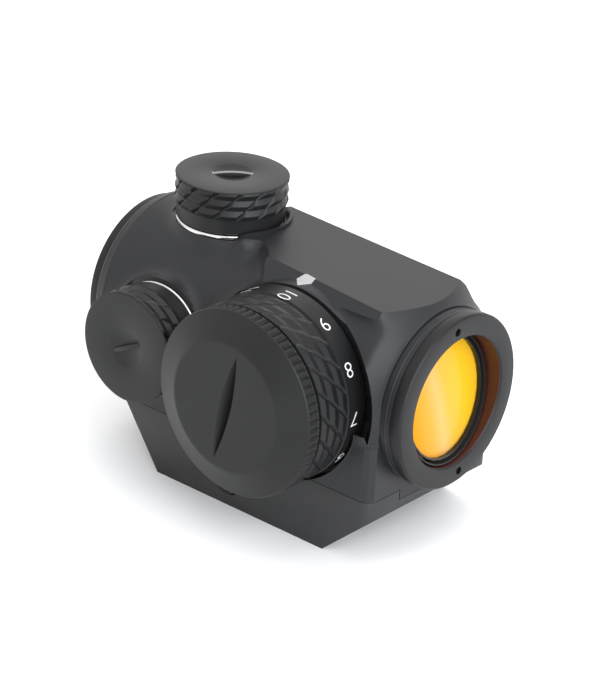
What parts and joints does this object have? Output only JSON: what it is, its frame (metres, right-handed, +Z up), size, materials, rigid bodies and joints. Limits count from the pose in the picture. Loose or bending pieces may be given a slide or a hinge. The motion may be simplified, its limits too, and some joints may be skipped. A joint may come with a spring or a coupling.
{
  "type": "red dot sight",
  "caption": "Compact tube red dot sight with capped adjusters, a numbered brightness knob with battery cap, an amber front lens and a rail clamp base.",
  "frame": {"origin": "on the seat that rests on the rail, under the optical axis", "axes": "+X to the front lens, -Y the side with the brightness knob, +Z up"},
  "size_m": [0.075, 0.0502, 0.0559],
  "materials": {
    "anodised": "black satin anodised",
    "steel": "bright",
    "dark_steel": "blackened steel",
    "brass": "turned",
    "rubber": "matt",
    "amber_glass": "polished with an amber mirror coating",
    "clear_glass": "polished",
    "board": "circuit board",
    "emitter": "moulded"
  },
  "bodies": {
    "housing": {"housing": "anodised", "front_bezel": "anodised", "rear_bezel": "anodised", "rear_window": "clear_glass", "rear_window_seal": "rubber", "tube_leaf_spring": "steel", "elevation_trim_ring": "steel", "windage_trim_ring": "steel", "knob_retaining_clip": "steel", "switch_board": "board", "detent_spring": "steel", "rail_base": "anodised", "base_screw_1": "dark_steel", "base_screw_2": "dark_steel", "base_screw_3": "dark_steel", "base_screw_4": "dark_steel"},
    "pivot_ring": {"pivot_ring": "dark_steel"},
    "inner_tube": {"inner_tube": "anodised", "front_lens": "amber_glass", "lens_retainer": "dark_steel", "emitter_holder": "board", "emitter": "emitter"},
    "elevation_dial": {"elevation_dial": "dark_steel"},
    "elevation_plunger": {"elevation_plunger": "brass"},
    "elevation_cap_seal": {"elevation_cap_seal": "rubber"},
    "elevation_cap": {"elevation_cap": "anodised"},
    "windage_dial": {"windage_dial": "dark_steel"},
    "windage_plunger": {"windage_plunger": "brass"},
    "windage_cap_seal": {"windage_cap_seal": "rubber"},
    "windage_cap": {"windage_cap": "anodised"},
    "brightness_knob": {"brightness_knob": "anodised", "switch_rotor": "board", "battery": "steel"},
    "battery_cap_seal": {"battery_cap_seal": "rubber"},
    "battery_cap": {"battery_cap": "anodised", "battery_contact": "steel"},
    "detent_ball": {"detent_ball": "steel"},
    "cross_bolt": {"cross_bolt": "dark_steel"},
    "clamp_jaw": {"clamp_jaw": "anodised", "clamp_nut": "dark_steel"}
  },
  "joints": [
    {"name": "brightness_turn", "type": "hinge", "parent": "housing", "child": "brightness_knob", "pos_m": [0.0062, 0, 0.023], "axis": [0, -1, 0], "range_deg": [-30, 300]},
    {"name": "battery_cap_lift", "type": "slide", "parent": "brightness_knob", "child": "battery_cap_seal", "axis": [0, -1, 0], "range_m": [0, 0.00375]},
    {"name": "battery_cap_turn", "type": "hinge", "parent": "battery_cap_seal", "child": "battery_cap", "pos_m": [0.0062, 0, 0.023], "axis": [0, -1, 0], "range_deg": [0, 1800]},
    {"name": "elevation_cap_lift", "type": "slide", "parent": "housing", "child": "elevation_cap_seal", "axis": [0, 0, 1], "range_m": [0, 0.00375]},
    {"name": "elevation_cap_turn", "type": "hinge", "parent": "elevation_cap_seal", "child": "elevation_cap", "pos_m": [-0.0222, 0, 0.023], "axis": [0, 0, 1], "range_deg": [0, 1800]},
    {"name": "elevation_dial_turn", "type": "hinge", "parent": "housing", "child": "elevation_dial", "pos_m": [-0.0222, 0, 0.023], "axis": [0, 0, 1], "range_deg": [-270, 270]},
    {"name": "elevation_plunger_slide", "type": "slide", "parent": "housing", "child": "elevation_plunger", "axis": [0, 0, 1], "range_m": [-0.000375, 0.000375]},
    {"name": "windage_cap_lift", "type": "slide", "parent": "housing", "child": "windage_cap_seal", "axis": [0, -1, 0], "range_m": [0, 0.00375]},
    {"name": "windage_cap_turn", "type": "hinge", "parent": "windage_cap_seal", "child": "windage_cap", "pos_m": [-0.0222, 0, 0.023], "axis": [0, -1, 0], "range_deg": [0, 1800]},
    {"name": "windage_dial_turn", "type": "hinge", "parent": "housing", "child": "windage_dial", "pos_m": [-0.0222, 0, 0.023], "axis": [0, -1, 0], "range_deg": [-270, 270]},
    {"name": "windage_plunger_slide", "type": "slide", "parent": "housing", "child": "windage_plunger", "axis": [0, -1, 0], "range_m": [-0.000375, 0.000375]},
    {"name": "tube_elevation_tilt", "type": "hinge", "parent": "housing", "child": "pivot_ring", "pos_m": [0.0214, 0, 0.023], "axis": [0, 1, 0], "range_deg": [-0.4928, 0.4928]},
    {"name": "tube_windage_tilt", "type": "hinge", "parent": "pivot_ring", "child": "inner_tube", "pos_m": [0.0214, 0, 0.023], "axis": [0, 0, 1], "range_deg": [-0.4928, 0.4928]},
    {"name": "detent_ball_slide", "type": "slide", "parent": "housing", "child": "detent_ball", "axis": [0, -1, 0], "range_m": [0, 0.0004], "stiffness_N_per_m": 200},
    {"name": "cross_bolt_turn", "type": "hinge", "parent": "housing", "child": "cross_bolt", "pos_m": [-0.0047, 0, -0.0003], "axis": [0, -1, 0], "range_deg": [0, 1440]},
    {"name": "clamp_jaw_slide", "type": "slide", "parent": "housing", "child": "clamp_jaw", "axis": [0, 1, 0], "range_m": [0, 0.0028]}
  ],
  "couplings": [
    {"joint": "battery_cap_turn", "follows": "battery_cap_lift", "rad_per_m": 8377.6},
    {"joint": "elevation_cap_turn", "follows": "elevation_cap_lift", "rad_per_m": 8377.6},
    {"joint": "elevation_dial_turn", "follows": "elevation_plunger_slide", "rad_per_m": 12566},
    {"joint": "windage_cap_turn", "follows": "windage_cap_lift", "rad_per_m": 8377.6},
    {"joint": "windage_dial_turn", "follows": "windage_plunger_slide", "rad_per_m": 12566},
    {"joint": "tube_elevation_tilt", "follows": "elevation_plunger_slide", "rad_per_m": 22.935},
    {"joint": "tube_windage_tilt", "follows": "windage_plunger_slide", "rad_per_m": 22.935},
    {"joint": "cross_bolt_turn", "follows": "clamp_jaw_slide", "rad_per_m": 8976}
  ]
}
